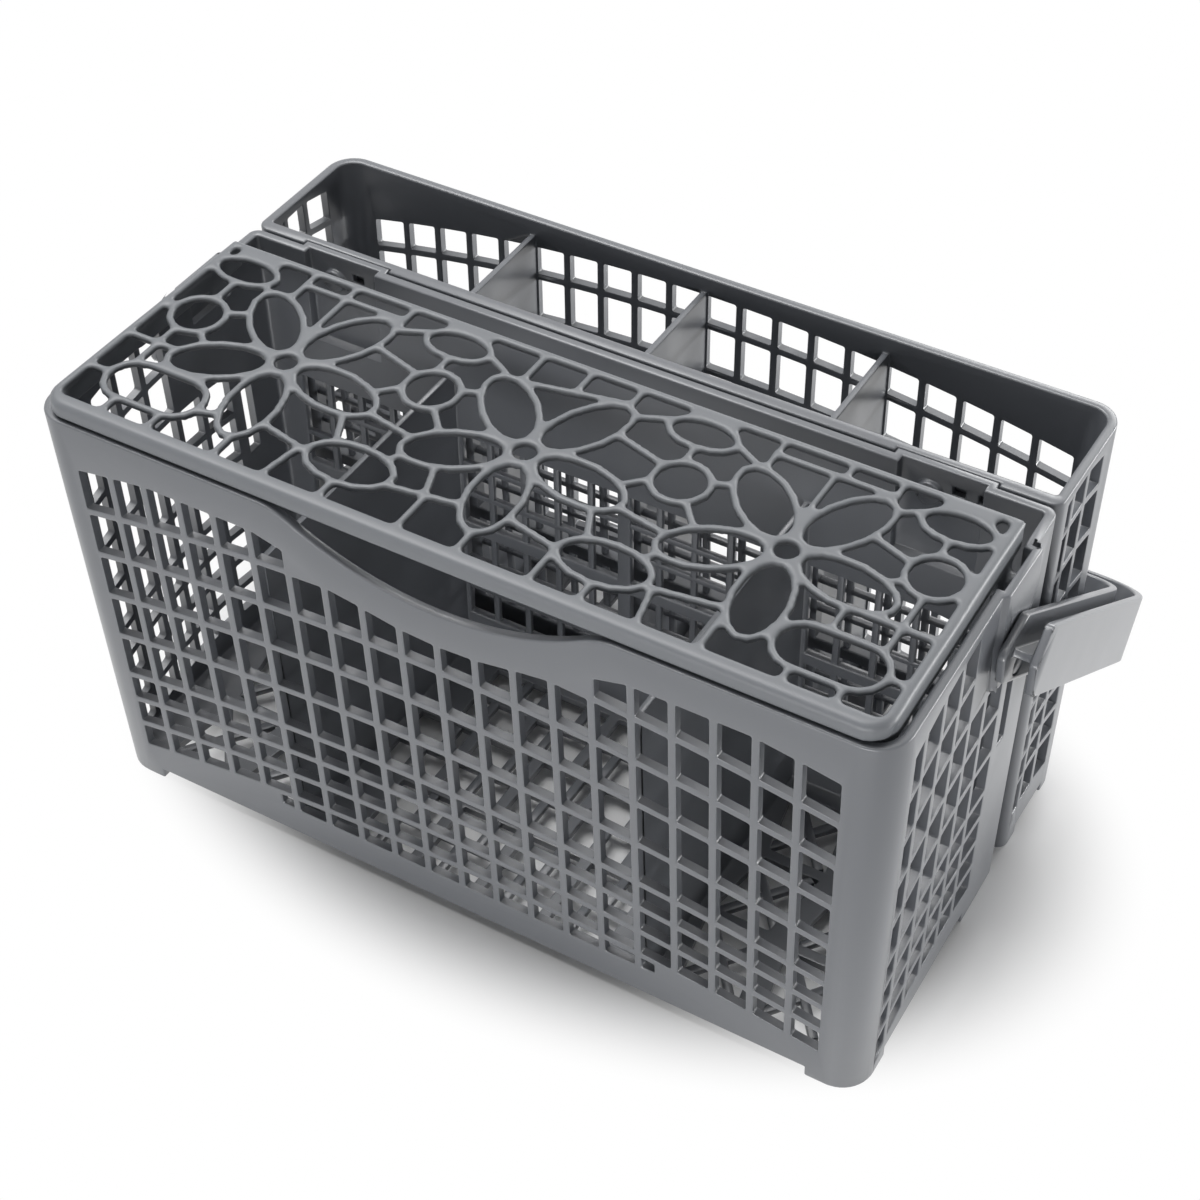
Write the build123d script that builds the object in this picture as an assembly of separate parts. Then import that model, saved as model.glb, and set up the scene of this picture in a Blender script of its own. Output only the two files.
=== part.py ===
from build123d import *
import os
from math import cos, pi, radians, sin, sqrt, tan

# Dishwasher cutlery basket: a front basket with a hinged flower-grille lid and a swinging
# handle, and a narrower open rear basket that hangs on its back. All four are mouldings.
# While it is modelled, x runs along the length, y back from the front rim and z up.

# Both baskets
rim = 129.0            # height of both rims above the floor
draft = 1.2            # lean of every outer wall, degrees
wall = 2.6
floor_low = 3.4        # underside of the floors, which is the height of the feet
floor_high = 5.8
divider = 1.8          # thickness of the dividers
lean = tan(radians(draft))

# Window grid, shared by the long walls and the ends
column = 10.75         # spacing of the upright bars
columns = 20
bar = 2.0              # width of every bar of the grid
tall_rows = 5
tall_row = 15.0
short_rows = 3
short_row = 9.7
corner_post = 12.0     # plain width at the front corners, next to the grid
sill = 13.7            # straight lower edge of the grid
head = 11.0            # plain band under the front rim
rear_head = 5.7        # plain band under the back wall's rim
end_head = 2.8         # plain band under the rim of the ends

# Front basket
front_half = 120.0     # half length at the front rim
end_taper = 1.8        # the ends come in this far towards the rear basket
front_depth = 92.2
front_corner = 9.0     # plan radius of the front corners
back_corner = 3.0
front_drop = 18.8      # top bar of the grid below the rim, at its crown
front_sag = 10.0       # drop of the arched bars at the ends of the grid
front_divider_drop = 23.0
divider_column = 5     # the dividers stand this many columns from the middle

# Finger notch in the front rim, drawn with tangent arcs
notch_depth = 13.8
notch_floor_radius = 80.0
notch_shoulder_radius = 18.0

# Rear basket
rear_step = 0.1        # the rear basket is this much longer at each end
joint_gap = 0.8        # between the two rims
rear_depth = 41.9
rear_front_wall = 3.7
rear_corner = 8.0
rear_drop = 15.5
rear_sag = 12.0
rear_row = 24.5        # the lower rows of the back wall are taller
rear_rows = 3
rear_divider_drop = 4.6

# Hanger: two pegs on the front basket in keyholes of the rear basket
hanger_inner = 75.0    # the jogged stretches of the back wall run between these two
hanger_outer = 102.0
hanger_jog = 2.0
hanger_height = 31.0
hanger_wall = 2.2
hanger_gap = 0.3
lift = 8.0             # lifting the rear basket this far frees it
peg_drop = 8.0         # the pegs below the rim
peg_half = 2.5         # half width of the pegs' necks, then of their heads
peg_head_half = 4.0
peg_head = 1.8

# Handle and its pivot on the end walls
pivot_set = 28.2       # pivot forward of the front basket's back rim
pivot_drop = 24.0      # pivot below the rim
pivot_radius = 3.5
running_fit = 0.08     # radial clearance of pivot pins
pad_rise = 2.0         # pads that carry the pivots, beyond the end of the back rim
pad_length = 22.0
pad_set = 12.7         # end of the pads forward of the back rim
handle_gap = 0.4
handle_rest = 0.6      # between the folded handle's bar and the rear basket
handle_width = 9.2     # across both flanges
handle_top = 12.3      # flange edges above and below the pivot
handle_bottom = -6.0
inner_bottom = -5.0
flange = 2.2
web_low = 2.2
handle_bend = 17.0
handle_slope = 35.2    # the folded handle leans on the rear basket at this angle

# Lid
lid_rise = 5.5         # top of the lid above the rim
lid_plate = 1.9
lid_front = 0.8
lid_set = 13.2         # back edge of the lid forward of the back rim
lid_gap = 1.0          # between the lid's sides and the end walls
lid_rest = 0.6         # between the lid's front edge and the rim
lid_side_border = 2.8
lid_front_border = 4.4
lid_back_border = 2.3
lid_corner = 6.5
lid_edge = 1.1         # slope round the top of the border
skirt_depth = 2.5      # the skirt reaches this far below the rim
skirt = 2.2
lid_pin_set = 23.2     # hinge pins forward of the back rim
lid_pin_drop = 5.0     # hinge pins below the rim
lid_pin_radius = 2.25
flower_pitch = 71.0
flower_set = 36.3      # middle of the flowers forward of the lid's back edge
ring = 2.0             # width of the rings
oval_sides = 14        # sides of each oval of the grille
rib = 1.9              # width of the straight ribs

# Places that follow from the sizes above
grid_half = front_half - corner_post
joint_half = front_half - end_taper
rear_half = joint_half + rear_step
rear_front = front_depth + joint_gap
rear_back = rear_front + rear_depth
front_bar = rim - front_drop
rear_bar = rim - rear_drop
rear_edge = rim - rear_head
end_edge = rim - end_head
hanger_foot = rim - hanger_height
peg_height = rim - peg_drop
pivot_y = front_depth - pivot_set
pivot_z = rim - pivot_drop
pad_face = joint_half + pad_rise
lid_top = rim + lid_rise
lid_back = front_depth - lid_set
lid_pin_y = front_depth - lid_pin_set
lid_pin_z = rim - lid_pin_drop
skirt_low = rim - skirt_depth
flower_y = lid_back - flower_set


def drafted(shape, low, high, inset):
    """Block between two heights, cut by leaning planes with round corners; inset is measured at the rim."""
    half_front, half_back, front, back, front_round, back_round = shape
    block = slab(-half_front - 5, half_front + 5, front - 5, back + 5, low, high)
    slant = (half_front - half_back) / (back - front)
    sides = [
        ((0, front + inset, rim), (0, -1, -lean)),
        ((0, back - inset, rim), (0, 1, -lean)),
        ((half_front - inset, front, rim), (1, slant, -lean)),
        ((inset - half_front, front, rim), (-1, slant, -lean)),
    ]
    for point, outward in sides:
        block = split(block, bisect_by=Plane(origin=point, z_dir=outward), keep=Keep.BOTTOM)
    for radius, corners in ((front_round, slice(0, 2)), (back_round, slice(-2, None))):
        upright = block.edges().filter_by(lambda edge: edge.bounding_box().size.Z > (high - low) / 2)
        block = fillet(upright.sort_by(Axis.Y)[corners], max(radius - inset, 1.0))
    return block


def slab(x_low, x_high, y_low, y_high, z_low, z_high):
    """Box between given coordinates."""
    size = (x_high - x_low, y_high - y_low, z_high - z_low)
    return Pos(x_low, y_low, z_low) * Box(*size, align=(Align.MIN, Align.MIN, Align.MIN))


def window(corners, plane, depth):
    """Prism through a wall from a four-cornered opening drawn on plane."""
    return extrude(plane * make_face(Polyline(corners, close=True)), amount=depth)


def grid_bars(top_bar, top_edge, rows):
    """Heights at the crown, from the top down: the grid's upper edge, then one bar under each row."""
    heights = [min(top_bar + tall_row - bar / 2, top_edge), top_bar]
    for row in rows:
        heights.append(heights[-1] - row)
    return heights


def arched_windows(edges, heights, drop, limit, plane, depth):
    """Prisms through a wall between upright edges and arched bars, below the limit line and above the floor."""
    prisms = []
    for row in range(len(heights) - 1):
        for near, far in edges(row):
            upper = heights[row] - (bar / 2 if row else 0)
            lower = heights[row + 1] + bar / 2
            top_near = min(upper - drop(near), limit(near))
            top_far = min(upper - drop(far), limit(far))
            low_near = max(lower - drop(near), floor_high)
            low_far = max(lower - drop(far), floor_high)
            if min(top_near - low_near, top_far - low_far) > bar:
                corners = [(near, low_near), (far, low_far), (far, top_far), (near, top_near)]
                prisms.append(window(corners, plane, depth))
    return prisms


def long_wall_windows(heights, sag, limit, plane, depth):
    """Openings of a long wall: the arched rows, then a short level row under their crown."""

    def drop(x):
        return sag * (x / grid_half) ** 2

    def edges(row):
        side = grid_half - lean * (rim - heights[row + 1] + sag)
        lines = [-side] + [(n - columns / 2) * column for n in range(1, columns)] + [side]
        halves = [0] + [bar / 2] * (columns - 1) + [0]
        return [(lines[n] + halves[n], lines[n + 1] - halves[n + 1]) for n in range(columns)]

    prisms = arched_windows(edges, heights, drop, limit, plane, depth)
    end = (divider_column + 0.45) * column
    lines = [-end] + [n * column for n in range(-divider_column, divider_column + 1)] + [end]
    upper = heights[-1] - bar / 2
    for n in range(len(lines) - 1):
        left = lines[n] + (bar / 2 if n else 0)
        right = lines[n + 1] - (bar / 2 if n < len(lines) - 2 else 0)
        if upper - max(drop(left), drop(right)) > sill:
            corners = [(left, sill), (right, sill), (right, upper - drop(right)), (left, upper - drop(left))]
            prisms.append(window(corners, plane, depth))
    return prisms


def end_windows(heights, uprights, crown, sag, full_from, plane, depth):
    """Openings of an end wall between the given uprights; the rows above full_from keep clear of the pad."""
    reach = max(crown - uprights[0], uprights[-1] - crown)
    last = len(uprights) - 1

    def drop(y):
        return sag * ((y - crown) / reach) ** 2

    def edges(row):
        pairs = [
            (uprights[n] + (bar / 2 if n else 0), uprights[n + 1] - (bar / 2 if n + 1 < last else 0))
            for n in range(last)
        ]
        return pairs[:4] if row < full_from else pairs

    return arched_windows(edges, heights, drop, lambda y: end_edge, plane, depth)


def rim_line(x, below):
    """Height of a line that runs at a distance below the notched front rim."""
    reach = notch_floor_radius + notch_shoulder_radius
    half = sqrt(reach ** 2 - (reach - notch_depth) ** 2)
    turn = half * notch_floor_radius / reach
    x = abs(x)
    if x <= turn * (1 + below / notch_floor_radius):
        radius = notch_floor_radius + below
        return rim - notch_depth + notch_floor_radius - sqrt(radius ** 2 - x ** 2)
    if x < half:
        radius = notch_shoulder_radius - below
        return rim - notch_shoulder_radius + sqrt(radius ** 2 - (half - x) ** 2)
    return rim - below


def under_rim():
    """Face of the front wall under its notched rim."""
    reach = notch_floor_radius + notch_shoulder_radius
    half = sqrt(reach ** 2 - (reach - notch_depth) ** 2)
    turn = half * notch_floor_radius / reach
    middle = (half + turn) / 2
    far = front_half + 1
    outline = [
        Polyline([(-half, rim), (-far, rim), (-far, -1), (far, -1), (far, rim), (half, rim)]),
        ThreePointArc((half, rim), (middle, rim_line(middle, 0)), (turn, rim_line(turn, 0))),
        ThreePointArc((turn, rim_line(turn, 0)), (0, rim - notch_depth), (-turn, rim_line(turn, 0))),
        ThreePointArc((-turn, rim_line(turn, 0)), (-middle, rim_line(middle, 0)), (-half, rim)),
    ]
    return make_face(Curve() + outline)


def floor_windows(x_low, x_high, y_low, y_high, slanted):
    """Openings of a compartment's floor: staggered bricks, or slanted slots that turn at the middle."""
    prisms = []
    bridge = 3.2
    rows = 3 if y_high - y_low > 50 else 1
    depth_step = (y_high - y_low + bridge) / rows
    count = max(2, round((x_high - x_low) / (1.7 * column)))
    length_step = (x_high - x_low + bridge) / count
    skew = 4.0 if slanted else 0.0
    for row in range(rows):
        y0 = y_low + row * depth_step
        y1 = y0 + depth_step - bridge
        turn = skew if row % 2 else -skew
        stagger = 0 if slanted or row % 2 else length_step / 2
        for n in range(count - (1 if stagger else 0)):
            x0 = x_low + n * length_step + stagger + abs(turn) / 2
            x1 = x0 + length_step - bridge - abs(turn)
            shift = turn / 2
            corners = [(x0 - shift, y0), (x1 - shift, y0), (x1 + shift, y1), (x0 + shift, y1)]
            prisms.append(window(corners, Plane.XY.offset(floor_low - 1), floor_high - floor_low + 2))
    return prisms


def basket_shell(shape, front_wall, y_feet):
    """Drafted tub with L-shaped corner feet, and its cavity."""
    tub = drafted(shape, 0, rim, 0)
    cavity_shape = (*shape[:2], shape[2] + front_wall - wall, *shape[3:])
    cavity = drafted(cavity_shape, floor_high, rim + 1, wall)
    under = drafted(shape, -1, floor_low, wall + 0.6)
    foot_x = shape[0] - 18.0
    tub = tub - cavity - under
    tub -= slab(-foot_x, foot_x, shape[2] - 5, shape[3] + 5, -1, floor_low)
    tub -= slab(-shape[0] - 5, shape[0] + 5, y_feet[0], y_feet[1], -1, floor_low)
    return tub, cavity


def both_sides(solids):
    """The solids and their mirror images in the plane x = 0."""
    return solids + [solid.mirror(Plane.YZ) for solid in solids]


# Front basket: shell, dividers, end pads and hanger jogs are built up first, then pierced.
front_shape = (front_half, joint_half, 0.0, front_depth, front_corner, back_corner)
front_basket, front_cavity = basket_shell(front_shape, wall, (18.5, front_depth - 25.2))
divider_x = divider_column * column
for x in (-divider_x, divider_x):
    top = rim - front_divider_drop
    sheet = slab(x - divider / 2, x + divider / 2, -1, front_depth + 1, floor_high - 1, top)
    front_basket += sheet & front_cavity

pad_back = front_depth - pad_set
pad_front = pad_back - pad_length
pad_outline = Polyline(
    [
        (pad_front, rim),
        (pad_back, rim),
        (pad_back, pivot_z + 12),
        (pivot_y + 6, pivot_z - 8),
        (pivot_y - 7, pivot_z - 8),
        (pad_front - 2, pivot_z + 3),
    ],
    close=True,
)
pad_side = make_face(pad_outline)
pad_side = fillet(pad_side.vertices().sort_by(Axis.Y)[:2], 4.0)
pad_root = joint_half - wall + 0.6
pad = extrude(Plane.YZ.offset(pad_root) * pad_side, amount=pad_face - pad_root)
pad_edges = pad.faces().sort_by(Axis.X)[-1].edges().sort_by(Axis.Z)[:-1]
pad = chamfer(pad_edges, pad_rise - 0.4)
handle_inner = pad_face + handle_gap
pivot_pin = Plane.YZ.offset(pad_root) * Pos(pivot_y, pivot_z) * Cylinder(
    pivot_radius, handle_inner + flange - 0.2 - pad_root, align=(Align.CENTER, Align.CENTER, Align.MIN)
)
for piece in both_sides([pad, pivot_pin]):
    front_basket += piece

hanger_face = front_depth + hanger_jog
hanger_steps = [(-hanger_outer, -hanger_inner), (hanger_inner, hanger_outer)]
keyhole_back = rear_front + rear_front_wall
for left, right in hanger_steps:
    front_basket += slab(left, right, front_depth - 2.2, hanger_face, hanger_foot, rim)
    jog_front = front_depth - wall - 1.2
    jog_back = hanger_face - hanger_wall
    jog_low = hanger_foot + hanger_wall
    front_basket -= slab(left + hanger_wall, right - hanger_wall, jog_front, jog_back, jog_low, rim + 1)
    peg_x = left + (hanger_outer - hanger_inner) * 0.38
    back_of_jog = Plane.XZ.offset(-(hanger_face - hanger_wall)) * Pos(peg_x, peg_height)
    button = back_of_jog * Cylinder(3.4, 1.6, align=(Align.CENTER, Align.CENTER, Align.MIN))
    front_basket += button
    head_front = keyhole_back + hanger_gap
    for half, start in ((peg_half, hanger_face - 1), (peg_head_half, head_front)):
        front_basket += slab(peg_x - half, peg_x + half, start, head_front + peg_head,
                             peg_height - half, peg_height + half)
    slot_step = (hanger_outer - hanger_inner) * 0.26
    slots = [
        slab(peg_x + along, peg_x + along + slot_step / 2, hanger_face - hanger_wall - 1, hanger_face + 1,
             peg_height + 1, peg_height + 3.6)
        for along in (0.8 * slot_step, 1.8 * slot_step)
    ]
    front_basket -= slots

front_plane = Plane.XZ.offset(-7)
front_rows = [tall_row] * (tall_rows - 1) + [short_row] * short_rows
front_heights = grid_bars(front_bar, rim, front_rows)
front_basket -= long_wall_windows(front_heights, front_sag, lambda x: rim_line(x, head), front_plane, 9)
notch = slab(-front_half, front_half, -2, 9, rim - notch_depth - 1, rim + 1)
front_basket -= notch - extrude(Plane.XZ.offset(-10) * under_rim(), amount=13)

end_last = front_depth - 23.2
end_first = 17.5
end_column = 10.05
end_count = int((end_last - end_first) / end_column)
end_uprights = [12.0] + [end_first + end_column * n for n in range(end_count)] + [end_last]
end_plane = Plane.YZ.offset(joint_half - 9)
end_heights = grid_bars(front_bar + 1.5, end_edge, front_rows) + [sill - bar / 2]
front_ends = end_windows(end_heights, end_uprights, front_depth - 39.2, 7.5, 2, end_plane, 12)
front_basket -= both_sides(front_ends)
drain_slot = slab(joint_half - 6, joint_half + 3, front_depth - 19.2, front_depth - 14.7, rim - 65, rim - 42)
key_hole = slab(joint_half - 0.6, joint_half + 1, pad_back - 1.8, pad_back - 0.2, rim - 6, rim + 1)
front_basket -= both_sides([drain_slot, key_hole])

inner_columns = [(n - 2) * divider_x for n in range(5)]
inner_levels = [17.0, (rim - 25) / 2, rim - 42]
inner_bar = 4.0
inner_openings = [
    (left + inner_bar / 2, right - inner_bar / 2, low + inner_bar / 2, high - inner_bar / 2)
    for left, right in zip(inner_columns, inner_columns[1:])
    for low, high in zip(inner_levels, inner_levels[1:])
]
front_basket -= [slab(x0, x1, front_depth - 8, front_depth + 1, z0, z1) for x0, x1, z0, z1 in inner_openings]

ear_pocket = slab(joint_half - 8, pad_face - wall + 0.4, pad_front + 2.5, pad_back - 3.5, lid_pin_z - 6, rim + 1)
pin_hole_depth = pad_face - 0.8 - joint_half + 8
pin_hole = Plane.YZ.offset(joint_half - 8) * Pos(lid_pin_y, lid_pin_z) * Cylinder(
    lid_pin_radius + running_fit, pin_hole_depth, align=(Align.CENTER, Align.CENTER, Align.MIN)
)
front_basket -= both_sides([ear_pocket, pin_hole])
end_room = grid_half - 5
floor_back = front_depth - 10.2
front_floor = floor_windows(-divider_x + 4, divider_x - 4, 10, floor_back, False)
front_floor += both_sides(floor_windows(divider_x + 4, end_room, 10, floor_back, True))
front_basket -= front_floor

# Rear basket: the same build, with keyholes that drop over the pegs.
rear_shape = (rear_half, rear_half, rear_front, rear_back, back_corner, rear_corner)
rear_basket, rear_cavity = basket_shell(rear_shape, rear_front_wall, (rear_front + 11, rear_back - 13.9))
for x in (-divider_x, 0.0, divider_x):
    near = x - divider / 2
    top = rim - rear_divider_drop
    sheet = slab(near, near + divider, rear_front - 1, rear_back + 1, floor_high - 1, top)
    rear_basket += sheet & rear_cavity

for left, right in hanger_steps:
    pocket_low = hanger_foot - lift - hanger_gap
    rear_basket -= slab(left - hanger_gap, right + hanger_gap, rear_front - 1, hanger_face + hanger_gap,
                        pocket_low, rim + 1)
    peg_x = left + (hanger_outer - hanger_inner) * 0.38
    hole_z = peg_height - lift
    for half, top in ((peg_half, peg_height), (peg_head_half, hole_z)):
        room = half + hanger_gap
        rear_basket -= slab(peg_x - room, peg_x + room, rear_front, keyhole_back + 3, hole_z - room, top + room)

rear_plane = Plane.XZ.offset(-(rear_back + 1))
rear_heights = grid_bars(rear_bar, rear_edge, [tall_row] + [rear_row] * rear_rows)
rear_basket -= long_wall_windows(rear_heights, rear_sag, lambda x: rim, rear_plane, 9)
rear_uprights = [rear_front + 5.8, rear_front + 9.3, rear_front + 18.4, rear_back - 13.4]
rear_end_heights = grid_bars(rear_bar + 2.5, end_edge, front_rows) + [sill - bar / 2]
rear_crown = rear_front + 16
rear_ends = end_windows(rear_end_heights, rear_uprights, rear_crown, 2.0, 0, Plane.YZ.offset(rear_half - 8), 10)
rear_basket -= both_sides(rear_ends)
rear_openings = [slab(x0, x1, rear_front - 1, rear_front + 8, z0, z1)
                 for x0, x1, z0, z1 in inner_openings if z1 < hanger_foot - lift]
rear_basket -= rear_openings
for x in (-1.5 * divider_x, -0.5 * divider_x, 0.5 * divider_x, 1.5 * divider_x):
    rear_basket -= floor_windows(x - divider_x / 2 + 4, x + divider_x / 2 - 4, rear_front + 9, rear_back - 6.9, False)

# Handle: drawn flat about its pivot, with two flanges joined by a web, then folded back.
handle_half = handle_inner + handle_width
folded = radians(handle_slope)
wall_there = rear_back + handle_rest - lean * (rim - pivot_z - inner_bottom * cos(folded))
bar_inside = (wall_there - pivot_y - inner_bottom * sin(folded)) / (cos(folded) + lean * sin(folded))
handle_reach = bar_inside + handle_width


def bail(inset):
    """Plan of the handle, drawn inwards by inset, its open end past the pivot."""
    half = handle_half - inset
    outline = Pos(0, handle_reach - inset) * Rectangle(2 * half, 140, align=(Align.CENTER, Align.MAX))
    corners = outline.vertices().sort_by(Axis.Y)[-2:]
    return fillet(corners, handle_bend - inset)


def side_profile(corners, low, rounding):
    """Side view of a flange, extruded across the handle; corners are those of its free end, from the lowest up."""
    far = handle_reach + 10
    outline = Polyline([*corners, (far, handle_top), (far, low)], close=True)
    face = make_face(outline)
    near = face.vertices().sort_by(Axis.X)[: len(corners)]
    return extrude(Plane.YZ * fillet(near, rounding), amount=handle_half + 5, both=True)


outer_end = [(-6.0, handle_bottom), (-10.8, web_low), (-8.0, handle_top)]
outer_flange = extrude(bail(0) - bail(flange), amount=30, both=True)
outer_flange &= side_profile(outer_end, handle_bottom, 2.5)
inner_end = [(-8.5, inner_bottom), (-14.5, web_low), (-5.0, handle_top)]
inner_flange = extrude(bail(handle_width - flange) - bail(handle_width), amount=30, both=True)
inner_flange &= side_profile(inner_end, inner_bottom, 3.0)
web = Pos(0, 0, web_low) * extrude(bail(flange / 2) - bail(handle_width - flange / 2), amount=flange - 0.2)
web &= slab(-200, 200, -9.5, 200, -20, 20)
handle = outer_flange + inner_flange + web
eye = Plane.YZ.offset(handle_inner - 1) * Cylinder(
    pivot_radius + running_fit, flange + 1, align=(Align.CENTER, Align.CENTER, Align.MIN)
)
handle -= both_sides([eye])
handle = Pos(0, pivot_y, pivot_z) * Rot(-handle_slope, 0, 0) * handle


# Lid: a flat grille of rings and ribs inside a border, with a skirt, ears and hinge pins.
def lid_half(y):
    """Half length of the lid at a depth, which follows the taper of the end walls."""
    return front_half - (front_half - joint_half) * y / front_depth - wall - lid_gap


def oval(centre, half_x, half_y, turn, grow):
    """Filled oval, drawn outwards by grow and turned about its centre; enough sides to read as round."""
    steps = [2 * pi * (n + 0.5) / oval_sides for n in range(oval_sides)]
    swell = 1 / cos(pi / oval_sides / 2)
    points = [((half_x + grow) * swell * cos(t), (half_y + grow) * swell * sin(t)) for t in steps]
    return Pos(*centre) * Rot(0, 0, turn) * make_face(Polyline(points, close=True))


def slot(centre, half_x, half_y, grow):
    """Filled slot with round ends, drawn outwards by grow."""
    end = half_y + grow
    sides = oval_sides // 2
    turns = [pi * n / sides - pi / 2 for n in range(sides + 1)]
    right = [(half_x - half_y + end * cos(t), end * sin(t)) for t in turns]
    left = [(-x, -y) for x, y in right]
    return Pos(*centre) * make_face(Polyline(right + left, close=True))


def strut(start, end, width=rib):
    """Straight rib between two points, long enough to sink into the rings that they lie on."""
    along = Vector(end[0] - start[0], end[1] - start[1])
    turn = Vector(1, 0).get_signed_angle(along, Vector(0, 0, 1))
    middle = ((start[0] + end[0]) / 2, (start[1] + end[1]) / 2)
    return Pos(*middle) * Rot(0, 0, turn) * Rectangle(along.length + ring, width)


def moved(base, place):
    """Point at a place measured from base."""
    return (base[0] + place[0], base[1] + place[1])


petal_turns = [-10.0 + 72.0 * n for n in range(5)]
petal_radius = 17.4
petal_half = (12.2, 5.9)
flowers = [(flower_pitch * n, flower_y) for n in (-1, 0, 1)]


def petal(flower, number):
    """Centre of a petal, counted anticlockwise from the one that points right."""
    turn = radians(petal_turns[number])
    return moved(flower, (petal_radius * cos(turn), petal_radius * sin(turn)))


# Openings are (centre, half length, half depth, turn); ribs are pairs of points and are
# trimmed where they cross an opening.
openings = []
ribs = []
patches = []
plate_back = lid_back - lid_back_border / 2
plate_front = lid_front + lid_front_border / 2
right_edge = lid_half(flower_y)

for flower in flowers:
    openings.append((flower, 3.0, 3.0, 0.0))
    openings += [(petal(flower, n), *petal_half, petal_turns[n]) for n in range(5)]

# Ribs behind and in front of each flower, measured from its middle; the last number is where the
# front one meets the border.
behind = [
    [(-15.0, 21.0), (-2.0, 12.0), (16.1, 22.0)],
    [(-15.3, 21.0), (-1.2, 25.6), (13.2, 26.0)],
    [(-17.9, 21.0), (0.5, 29.4), (13.8, 26.5)],
]
bars_behind = [((-15.0, 29.4), (16.1, 29.4)), ((-15.0, 22.9), (12.5, 28.4)), ((-17.9, 29.4), (13.8, 29.4))]
feet = [5.5, 4.5, -2.4]
for flower, starts, bar_behind, foot in zip(flowers, behind, bars_behind, feet):
    ribs += [(moved(flower, start), (flower[0] + start[0], plate_back)) for start in starts]
    ribs.append((moved(flower, bar_behind[0]), moved(flower, bar_behind[1])))
    ribs.append((moved(flower, (foot, -26.0)), (flower[0] + foot, plate_front)))
ribs.append((moved(flowers[-1], (-2.0, 12.0)), moved(flowers[-1], (-2.0, 29.4))))

# Ribs between two flowers, measured from the middle of the left one
between = [
    ((34.9, 23.0), (34.9, 17.0)),
    ((44.3, 27.3), (50.0, 24.2)),
    ((44.8, 12.4), (49.8, 14.4)),
    ((43.2, 2.6), (47.9, -2.8)),
    ((15.9, 24.7), (25.5, 29.0)),
    ((16.0, 17.0), (30.8, 12.8)),
    ((25.6, 0.9), (30.6, 5.9)),
    ((28.2, -5.9), (44.3, -8.8)),
    ((24.7, -10.2), (28.7, -18.8)),
    ((45.5, -14.2), (44.1, -19.0)),
    ((9.8, -22.3), (24.4, -25.5)),
    ((48.6, -26.5), (67.8, -23.6)),
]
to_border = [[(22.0, -27.0, 19.9), (36.6, -31.5, 36.6), (59.0, -25.0, 59.0)],
             [(24.2, -26.5, 24.2), (37.5, -31.5, 37.5), (50.6, -27.0, 53.2)]]
for flower, border_ribs in zip(flowers, to_border):
    circle = moved(flower, (38.0, 9.1))
    rear_oval = moved(flower, (34.2, 27.2))
    front_oval = moved(flower, (36.6, -24.5))
    openings += [(circle, 6.4, 6.4, 0.0), (rear_oval, 8.3, 4.15, 0.0), (front_oval, 11.2, 6.0, 0.0)]
    patches.append(rear_oval)
    ribs += [(moved(flower, start), moved(flower, end)) for start, end in between]
    ribs += [(moved(flower, (x, y)), (flower[0] + low, plate_front)) for x, y, low in border_ribs]
ribs.append((moved(flowers[0], (55.2, -15.3)), moved(flowers[0], (58.6, -25.0))))

# Left and right ends of the grille
left = flowers[0]
left_circle = moved(left, (-31.8, 5.4))
left_oval = moved(left, (-32.2, 26.7))
left_slot = moved(left, (-22.4, -24.6))
right = flowers[-1]
right_circle = moved(right, (33.8, 8.6))
right_oval = moved(right, (31.3, 26.5))
right_slot = moved(right, (24.3, -25.7))
openings += [(left_circle, 6.4, 6.4, 0.0), (left_oval, 8.4, 4.1, 0.0)]
openings += [(right_circle, 6.4, 6.4, 0.0), (right_oval, 8.4, 4.15, 0.0)]
patches += [left_oval, right_oval]
slots = [(left_slot, 13.4, 6.3), (right_slot, 13.0, 6.4)]
left_ribs = [
    ((-31.9, 12.0), (-31.9, 22.0)),
    ((-25.5, 9.5), (-19.5, 12.3)),
    ((-27.5, 0.2), (-23.0, -3.6)),
    ((-25.0, 24.0), (-20.5, 21.8)),
    ((-33.4, -1.0), (-33.4, -17.5)),
    ((-25.5, -16.2), (-14.0, -16.2)),
    ((-8.5, -26.7), (-3.0, -24.9)),
]
right_ribs = [
    ((31.3, 22.5), (31.3, 15.5)),
    ((23.8, 29.2), (16.2, 24.4)),
    ((26.8, 10.4), (15.8, 14.2)),
    ((28.0, 4.2), (24.6, 2.0)),
    ((34.2, 2.0), (34.2, -18.5)),
    ((20.4, -10.5), (20.4, -18.5)),
    ((9.0, -24.5), (11.5, -24.9)),
]
ribs += [(moved(left, start), moved(left, end)) for start, end in left_ribs]
ribs += [(moved(right, start), moved(right, end)) for start, end in right_ribs]
ribs += [(moved(left, (x, y)), (-right_edge, left[1] + y)) for x, y in
         ((-39.0, 5.4), (-26.5, -9.2), (-36.5, -24.6), (-41.0, 26.7))]
ribs += [(moved(right, (x, y)), (right_edge, right[1] + y)) for x, y in
         ((40.0, 5.2), (26.0, -10.0), (38.0, -25.7), (40.5, 26.5))]
ribs += [(moved(left, (x, -31.5)), (left[0] + x, plate_front)) for x in (-28.6, -14.8)]
ribs += [(moved(right, (x, -32.5)), (right[0] + x, plate_front)) for x in (18.1, 31.3)]


def lid_outline(inset_side, front, back, rounding):
    """Outline of the lid between two depths, its sides drawn inwards and its front corners rounded."""
    half_front = lid_half(front) - inset_side
    half_back = lid_half(back) - inset_side
    corners = [(-half_front, front), (half_front, front), (half_back, back), (-half_back, back)]
    face = make_face(Polyline(corners, close=True))
    return fillet(face.vertices().sort_by(Axis.Y)[:2], rounding)


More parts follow.
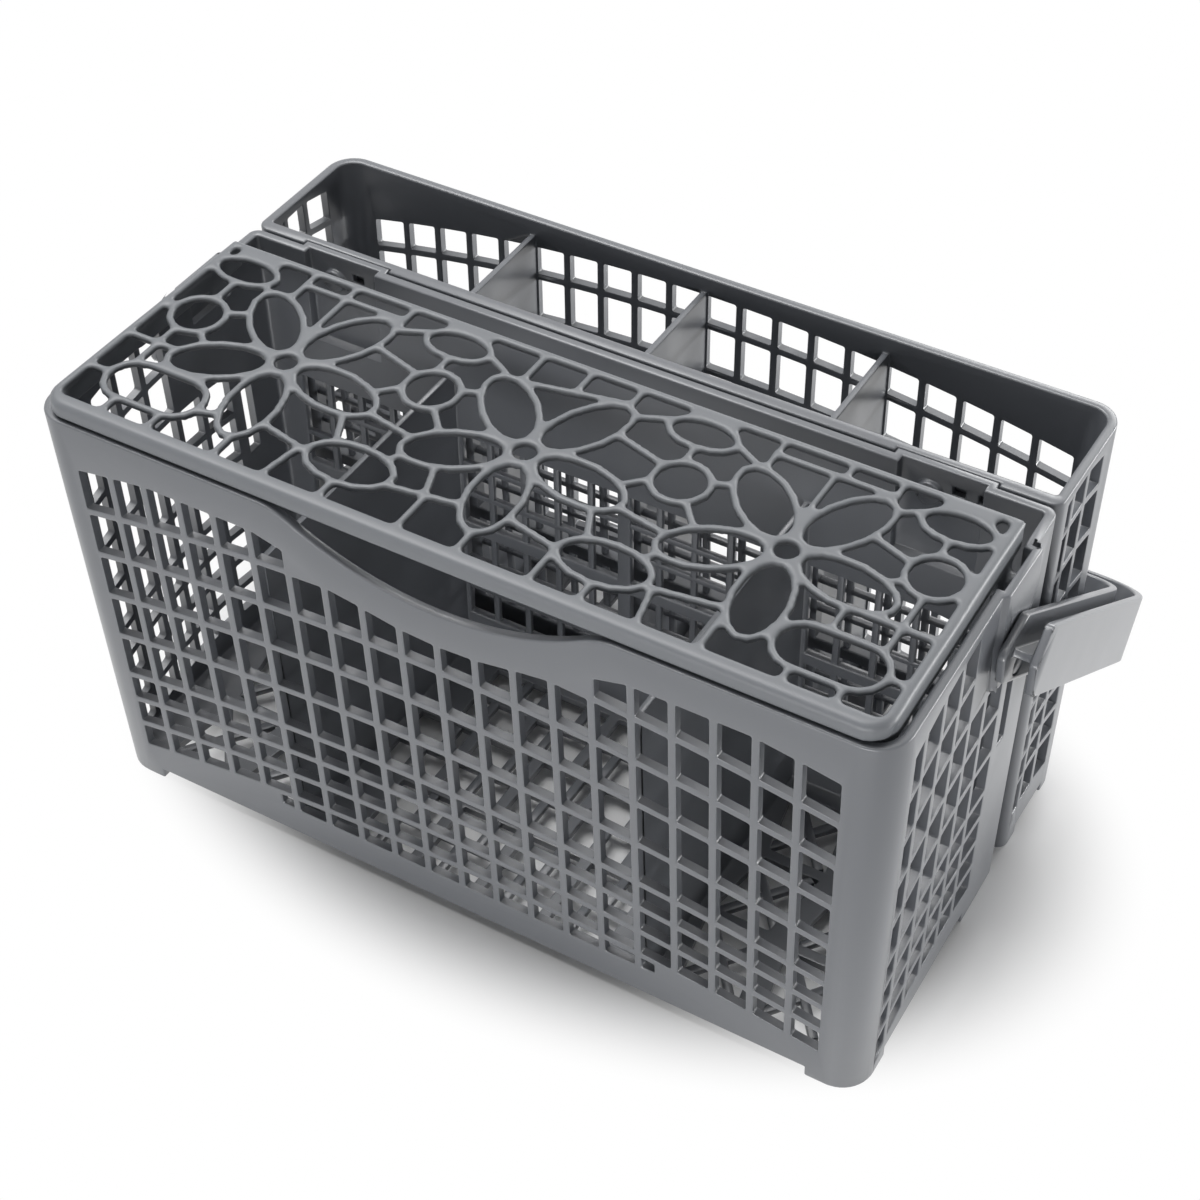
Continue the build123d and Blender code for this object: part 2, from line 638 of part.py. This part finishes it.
outline = lid_outline(0, lid_front, lid_back, lid_corner)
border_front = lid_front + lid_front_border
border_room = lid_outline(lid_side_border, border_front, lid_back - lid_back_border, lid_corner - lid_front_border)
solid_parts = [strut(*ends) for ends in ribs]
solid_parts += [oval(*opening, ring) for opening in openings]
solid_parts += [slot(*long_slot, ring) for long_slot in slots]
patch_width = 14.0
for x, y in patches:
    solid_parts.append(Pos(x, (y + lid_back) / 2) * Rectangle(patch_width, lid_back - y))
holes = [oval(*opening, 0.0) for opening in openings]
holes += [slot(*long_slot, 0.0) for long_slot in slots]
grille = (outline - border_room) + solid_parts
grille = (grille & outline) - holes
lid = Pos(0, 0, lid_top - lid_plate) * extrude(grille, amount=lid_plate)


def rounded_front(inset):
    """Outline of the front basket's rim drawn inwards, with its front corners rounded to match."""
    front = front_half - inset
    back = joint_half - inset
    corners = [(-front, inset), (front, inset), (back, front_depth - inset), (-back, front_depth - inset)]
    outline = make_face(Polyline(corners, close=True))
    return fillet(outline.vertices().sort_by(Axis.Y)[:2], front_corner - inset)


edge_low = rim + lid_rest
front_lip = outline - border_room - Pos(0, border_front) * Rectangle(
    2 * front_half, lid_back, align=(Align.CENTER, Align.MIN)
)
lid += Pos(0, 0, edge_low) * extrude(front_lip, amount=lid_top - edge_low)
top_edges = lid.edges().group_by(Axis.Z)[-1]
front_edge = top_edges.filter_by(Axis.X).sort_by(Axis.Y)[0]
lid = chamfer(front_edge, lid_edge)
skirt_inset = wall + lid_gap
skirt_frame = rounded_front(skirt_inset) - rounded_front(skirt_inset + skirt)
skirt_wall = Pos(0, 0, skirt_low) * extrude(skirt_frame, amount=lid_top - lid_plate - skirt_low)
lid += skirt_wall & slab(-front_half, front_half, 0, lid_back, 0, lid_top)
ear_outer = lid_half(lid_pin_y)
ear_radius = lid_pin_radius + 1.8
ear = Plane.YZ.offset(ear_outer - skirt) * Pos(lid_pin_y, lid_pin_z) * Cylinder(
    ear_radius, skirt, align=(Align.CENTER, Align.CENTER, Align.MIN)
)
ear += slab(ear_outer - skirt, ear_outer, lid_pin_y - ear_radius, lid_pin_y + ear_radius, lid_pin_z,
            lid_top - lid_plate)
lid_pin = Plane.YZ.offset(ear_outer - 1) * Pos(lid_pin_y, lid_pin_z) * Cylinder(
    lid_pin_radius, pad_face - 1.0 - ear_outer + 1, align=(Align.CENTER, Align.CENTER, Align.MIN)
)
for piece in both_sides([ear, lid_pin]):
    lid += piece

# All four share one frame, its origin under the middle of the whole.
nodes = {"front_basket": front_basket, "rear_basket": rear_basket, "lid": lid, "handle": handle}
span = Compound(list(nodes.values())).bounding_box()
middle_y = (span.min.Y + span.max.Y) / 2
os.makedirs("parts", exist_ok=True)
for name, solid in nodes.items():
    export_step(Pos(0, -middle_y, 0) * solid, f"parts/{name}.step")
print("frame shift in y", -middle_y)
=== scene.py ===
from math import cos, radians, sin

import bpy
from mathutils import Matrix, Vector


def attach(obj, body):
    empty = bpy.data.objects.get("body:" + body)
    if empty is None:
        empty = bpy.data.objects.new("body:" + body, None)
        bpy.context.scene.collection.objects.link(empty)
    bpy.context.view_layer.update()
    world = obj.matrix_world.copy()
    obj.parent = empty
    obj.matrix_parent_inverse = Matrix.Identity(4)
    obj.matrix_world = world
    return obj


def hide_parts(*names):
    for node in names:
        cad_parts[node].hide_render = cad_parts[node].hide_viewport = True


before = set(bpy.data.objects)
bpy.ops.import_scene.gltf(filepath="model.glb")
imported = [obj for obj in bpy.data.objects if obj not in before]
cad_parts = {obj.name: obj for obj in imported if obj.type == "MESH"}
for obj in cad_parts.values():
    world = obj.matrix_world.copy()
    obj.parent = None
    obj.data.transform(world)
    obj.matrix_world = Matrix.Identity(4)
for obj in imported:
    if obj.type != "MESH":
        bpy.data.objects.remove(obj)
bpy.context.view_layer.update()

# Front basket: the deep tub that carries the lid and the handle, one injection moulding in grey
# polypropylene. Its walls are open grids, so every bar keeps the small edge radius of the mould.
# Fine bars, moulded with it, cross the wide openings of its back wall and its floor.


class Value:
    """A socket of a finish's nodes; arithmetic on it adds Math nodes."""

    def __init__(self, finish, socket):
        self.finish = finish
        self.socket = socket

    def math(self, operation, *values):
        inputs = dict(enumerate(values))
        return self.finish.node("ShaderNodeMath", {"operation": operation}, inputs)

    def __add__(self, other):
        return self.math("ADD", self, other)

    def __mul__(self, other):
        return self.math("MULTIPLY", self, other)

    __radd__ = __add__
    __rmul__ = __mul__


class Finish:
    """The nodes of a new material, or of the room round the object."""

    def __init__(self, owner):
        owner.use_nodes = True
        self.owner = owner
        self.tree = owner.node_tree

    def put(self, node, inputs):
        """Set or link sockets of a node."""
        for name, value in inputs.items():
            if isinstance(value, Value):
                self.tree.links.new(value.socket, node.inputs[name])
            else:
                node.inputs[name].default_value = value

    def node(self, kind, settings, inputs, output=0):
        """Add a node with its settings and sockets, and give one of its outputs."""
        new = self.tree.nodes.new(kind)
        for name, value in settings.items():
            setattr(new, name, value)
        self.put(new, inputs)
        return Value(self, new.outputs[output])


def moulded_plastic(name, light, dark, roughness, grain, coat):
    """Satin moulded plastic: slow flow marks in the colour, a fine mould grain, and uneven gloss."""
    plastic = Finish(bpy.data.materials.new(name))
    place = plastic.node("ShaderNodeTexCoord", {}, {}, "Object")

    def marks(scale, detail, contrast):
        inputs = {"Vector": place, "Scale": scale, "Detail": detail, "Roughness": contrast}
        return plastic.node("ShaderNodeTexNoise", {}, inputs)

    flow = marks(scale=22.0, detail=4.0, contrast=0.55)
    fine = marks(scale=900.0, detail=3.0, contrast=0.6)
    handled = marks(scale=75.0, detail=5.0, contrast=0.6)
    greys = {0: flow, 6: (*dark, 1.0), 7: (*light, 1.0)}
    bumps = {"Strength": grain, "Distance": 0.00006, "Height": fine}
    gloss_spread = 0.08
    surface = {
        "Base Color": plastic.node("ShaderNodeMix", {"data_type": "RGBA"}, greys, 2),
        "Roughness": handled * gloss_spread + (roughness - gloss_spread / 2),
        "Normal": plastic.node("ShaderNodeBump", {}, bumps, "Normal"),
        "IOR": 1.55,
        "Coat Weight": coat,
        "Coat Roughness": 0.3,
    }
    plastic.put(plastic.tree.nodes["Principled BSDF"], surface)
    return plastic.owner


def mould_in(piece, plastic):
    """Give a piece its plastic, in the place of what the solid came with."""
    piece.data.materials.clear()
    piece.data.materials.append(plastic)


def merged_copy(node):
    """Copy of a CAD solid with its faces joined, active and alone in the selection."""
    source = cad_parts[node]
    copy = source.copy()
    copy.data = source.data.copy()
    copy.name = node + "_moulding"
    bpy.context.collection.objects.link(copy)
    bpy.ops.object.select_all(action="DESELECT")
    copy.select_set(True)
    bpy.context.view_layer.objects.active = copy
    bpy.ops.object.mode_set(mode="EDIT")
    bpy.ops.mesh.select_all(action="SELECT")
    bpy.ops.mesh.remove_doubles(threshold=0.000005)
    bpy.ops.object.mode_set(mode="OBJECT")
    return copy


def rounded_copy(node, body, edge, steps):
    """Merged copy of a moulding with the mould's edge radius, in the place of the plain solid."""
    copy = merged_copy(node)
    rounding = copy.modifiers.new("edge radius", "BEVEL")
    rounding.width = edge
    rounding.segments = steps
    rounding.limit_method = "ANGLE"
    rounding.angle_limit = radians(40)
    rounding.use_clamp_overlap = False
    bpy.ops.object.modifier_apply(modifier=rounding.name)
    bpy.ops.object.shade_smooth_by_angle(angle=radians(35))
    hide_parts(node)
    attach(copy, body)
    return copy


def bar_lattice(name, body, bars, plastic):
    """Fine bars of a basket, each with its place, size and turn, as one piece that rides with it."""
    bpy.ops.object.select_all(action="DESELECT")
    bpy.ops.object.add(type="MESH")
    lattice = bpy.context.object
    lattice.name = name
    bpy.ops.object.mode_set(mode="EDIT")
    for place, size, turn in bars:
        bpy.ops.mesh.primitive_cube_add(size=1.0, location=place, rotation=turn, scale=size)
    bpy.ops.mesh.select_all(action="SELECT")
    bpy.ops.mesh.bevel(offset=0.0004, segments=2, affect="EDGES")
    bpy.ops.object.mode_set(mode="OBJECT")
    bpy.ops.object.shade_smooth_by_angle(angle=radians(35))
    mould_in(lattice, plastic)
    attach(lattice, body)


def wall_bars(middle, slope):
    """Bars across the wide openings of an inner wall; middle is the wall's mid-depth at the rim."""
    rim = 0.129
    width = 0.0019
    depth = 0.0017
    lean = (-slope, 0, 0)
    upright_pitch = 0.01075
    upright_length = 0.067
    upright_drop = 0.077
    level_length = 0.212
    bars = []
    for n in range(-9, 10):
        if n % 5:  # every fifth upright is part of the solid
            place = (n * upright_pitch, middle - upright_drop * slope, rim - upright_drop)
            bars.append((place, (width, depth, upright_length), lean))
    for height in (0.0293, 0.0397, 0.0643, 0.0747):
        place = (0, middle - (rim - height) * slope, height)
        bars.append((place, (level_length, depth, width), lean))
    return bars


def floor_bar(x, y, length, turn):
    """A bar that lies in a floor; bars that cross differ a little in height, as their turns do."""
    width = 0.0026
    thickness = 0.002
    sink = 0.0001
    height = 0.0046 - sink * cos(turn / 2) - sink * sin(turn / 2)
    return ((x, y, height), (length, width, thickness), (0, 0, turn))


basket_grey = moulded_plastic(
    "basket polypropylene",
    light=(0.136, 0.144, 0.159),
    dark=(0.123, 0.13, 0.144),
    roughness=0.34,
    grain=0.12,
    coat=0.5,
)
front_basket = rounded_copy("front_basket", "front_basket", edge=0.0005, steps=2)
mould_in(front_basket, basket_grey)

front_bars = wall_bars(middle=0.01524, slope=0.020947)
first_row = -0.05473
row_pitch = 0.02507
first_tooth = -0.0411
tooth_pitch = 0.02054
tooth_length = 0.0115
tooth_aside = 0.0022
tooth_off_row = 0.0055
for row in range(3):
    y = first_row + row * row_pitch
    front_bars.append(floor_bar(0, y, 0.1, 0))
    stagger = 0.00167 if row % 2 else 0.01027
    for n in range(5):
        x = first_tooth + n * tooth_pitch + stagger
        for way in (-1, 1):
            place = (x + way * tooth_aside, y + way * tooth_off_row)
            front_bars.append(floor_bar(*place, tooth_length, radians(90)))
    for x in (-0.0925, -0.0685, 0.0685, 0.0925):
        for turn in (-52, 52):
            front_bars.append(floor_bar(x, y, 0.027, radians(turn)))
bar_lattice("front_basket_lattice", "front_basket", front_bars, basket_grey)

# Rear basket: the narrow open tub that hangs on the front one by two pegs, moulded in one piece
# in the same plastic. The same fine bars cross the wide openings of its front wall and its floor.
rear_basket = rounded_copy("rear_basket", "rear_basket", edge=0.0005, steps=2)
mould_in(rear_basket, basket_grey)
rear_bars = wall_bars(middle=0.01919, slope=-0.020947)
for y in (0.03495, 0.04395):
    rear_bars.append(floor_bar(0, y, 0.208, 0))
bar_lattice("rear_basket_lattice", "rear_basket", rear_bars, basket_grey)

# Lid: a flat grille of flowers and ribs that turns on two pins of its own, moulded in one piece
# like the baskets, in a paler and duller grey.
# The tops of its ribs are round and flow into each other, so its skin is drawn anew and relaxed.
lid_grey = moulded_plastic(
    "lid polypropylene",
    light=(0.16, 0.17, 0.184),
    dark=(0.146, 0.155, 0.168),
    roughness=0.46,
    grain=0.1,
    coat=0.1,
)
lid = merged_copy("lid")
skin = lid.modifiers.new("skin", "REMESH")
skin.mode = "VOXEL"
skin.voxel_size = 0.00066
bpy.ops.object.modifier_apply(modifier=skin.name)
relaxing = lid.modifiers.new("flow", "SMOOTH")
relaxing.factor = 0.5
relaxing.iterations = 5
bpy.ops.object.modifier_apply(modifier=relaxing.name)
bpy.ops.object.shade_smooth()
mould_in(lid, lid_grey)
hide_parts("lid")
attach(lid, "lid")

# Handle: a bail of H-section in the same plastic, moulded in one piece and smoother than the
# baskets. The eyes at its ends snap over the pins on the front basket, and it folds back against
# the rear one.
handle_grey = moulded_plastic(
    "handle polypropylene",
    light=(0.15, 0.158, 0.173),
    dark=(0.14, 0.147, 0.161),
    roughness=0.3,
    grain=0.06,
    coat=0.5,
)
handle = rounded_copy("handle", "handle", edge=0.0005, steps=3)
mould_in(handle, handle_grey)

# Floor: a plain sheet of white paper that the feet stand on.
# It shows the soft shadow close round them, and fades to the white of the room further out.


def background_rays(finish):
    """1 for a ray that shows the background, straight or in gloss or glass; 0 for light."""
    seen = finish.node("ShaderNodeLightPath", {}, {}, "Is Camera Ray")
    for other in ("Is Glossy Ray", "Is Transmission Ray"):
        seen = seen.math("MAXIMUM", seen, finish.node("ShaderNodeLightPath", {}, {}, other))
    return seen


bpy.ops.object.select_all(action="DESELECT")
bpy.ops.mesh.primitive_plane_add(size=6.0, location=(0, 0, 0))
floor = bpy.context.object
floor.name = "floor"
paper = Finish(bpy.data.materials.new("white paper"))
matt = paper.tree.nodes["Principled BSDF"]
paper.put(matt, {"Base Color": (0.86, 0.86, 0.86, 1.0), "Roughness": 0.9})
shadow_length = 0.13
shadow_depth = 0.085
spot = paper.node("ShaderNodeTexCoord", {}, {}, "Object")
along = paper.node("ShaderNodeSeparateXYZ", {}, {0: spot}, "X") * (1 / shadow_length)
across = paper.node("ShaderNodeSeparateXYZ", {}, {0: spot}, "Y") * (1 / shadow_depth)
spread = along * along + across * across
fade = paper.node(
    "ShaderNodeMapRange",
    {"interpolation_type": "SMOOTHSTEP"},
    {
        "Value": spread.math("SQRT", spread),
        "From Min": 0.85,
        "From Max": 1.25,
        "To Min": 0.0,
        "To Max": 1.0,
    },
)
white = paper.node("ShaderNodeEmission", {}, {})
layers = {0: fade * background_rays(paper), 1: Value(paper, matt.outputs[0]), 2: white}
sheet = paper.node("ShaderNodeMixShader", {}, layers)
paper.put(paper.tree.nodes["Material Output"], {"Surface": sheet})
floor.data.materials.append(paper.owner)

# Light: soft boxes above and behind for the tops, low ones at the right and in front for the walls.
# The room itself is dim, and only looks white.
scene = bpy.context.scene
room = Finish(bpy.data.worlds.new("white room"))
scene.world = room.owner
dim = 0.03
bright = 1.0
strength = room.node("ShaderNodeMix", {}, {0: background_rays(room), 2: dim, 3: bright})
walls = {"Color": (1.0, 1.0, 1.0, 1.0), "Strength": strength}
room.put(room.tree.nodes["Background"], walls)


def soft_box(name, place, target, width, height, watts):
    """Flat lamp of a size, at a place, turned to a target."""
    lamp = bpy.data.lights.new(name, "AREA")
    lamp.shape = "RECTANGLE"
    lamp.size = width
    lamp.size_y = height
    lamp.energy = watts
    box = bpy.data.objects.new(name, lamp)
    bpy.context.collection.objects.link(box)
    box.location = place
    box.rotation_euler = (Vector(target) - Vector(place)).to_track_quat("-Z", "Y").to_euler()


middle = (0.0, 0.0, 0.06)
top = (0.0, 0.0, 0.1)
soft_box("right soft box", (0.95, 0.75, 0.06), middle, width=0.8, height=0.1, watts=10.0)
soft_box("top soft box", (-0.45, 0.15, 1.25), top, width=0.9, height=0.9, watts=16.0)
soft_box("back soft box", (0.1, 1.2, 0.7), top, width=0.9, height=0.5, watts=8.0)
soft_box("front soft box", (0.25, -1.25, 0.12), middle, width=0.9, height=0.2, watts=9.0)

# Camera: the photograph's standpoint, worked out from the object's straight edges.
# It looks down on the front and the right end, with no blur.
lens = bpy.data.cameras.new("camera")
lens.sensor_width = 36.0
lens.lens = 71.886
lens.shift_x = -0.01625
lens.shift_y = 0.00125
lens.clip_start = 0.01
camera = bpy.data.objects.new("camera", lens)
bpy.context.collection.objects.link(camera)
standpoint = (0.24755, -0.40108, 0.50565)
azimuth = radians(31.05)
elevation = radians(43.60)
tilt = radians(-0.97)
back = Vector((sin(azimuth) * cos(elevation), -cos(azimuth) * cos(elevation), sin(elevation)))
side = Vector((cos(azimuth), sin(azimuth), 0.0))
rise = back.cross(side)
rightward = side * cos(tilt) + rise * sin(tilt)
upward = rise * cos(tilt) - side * sin(tilt)
look = Matrix((rightward, upward, back)).transposed()
camera.matrix_world = Matrix.Translation(standpoint) @ look.to_4x4()
scene.camera = camera
scene.view_settings.view_transform = "Standard"
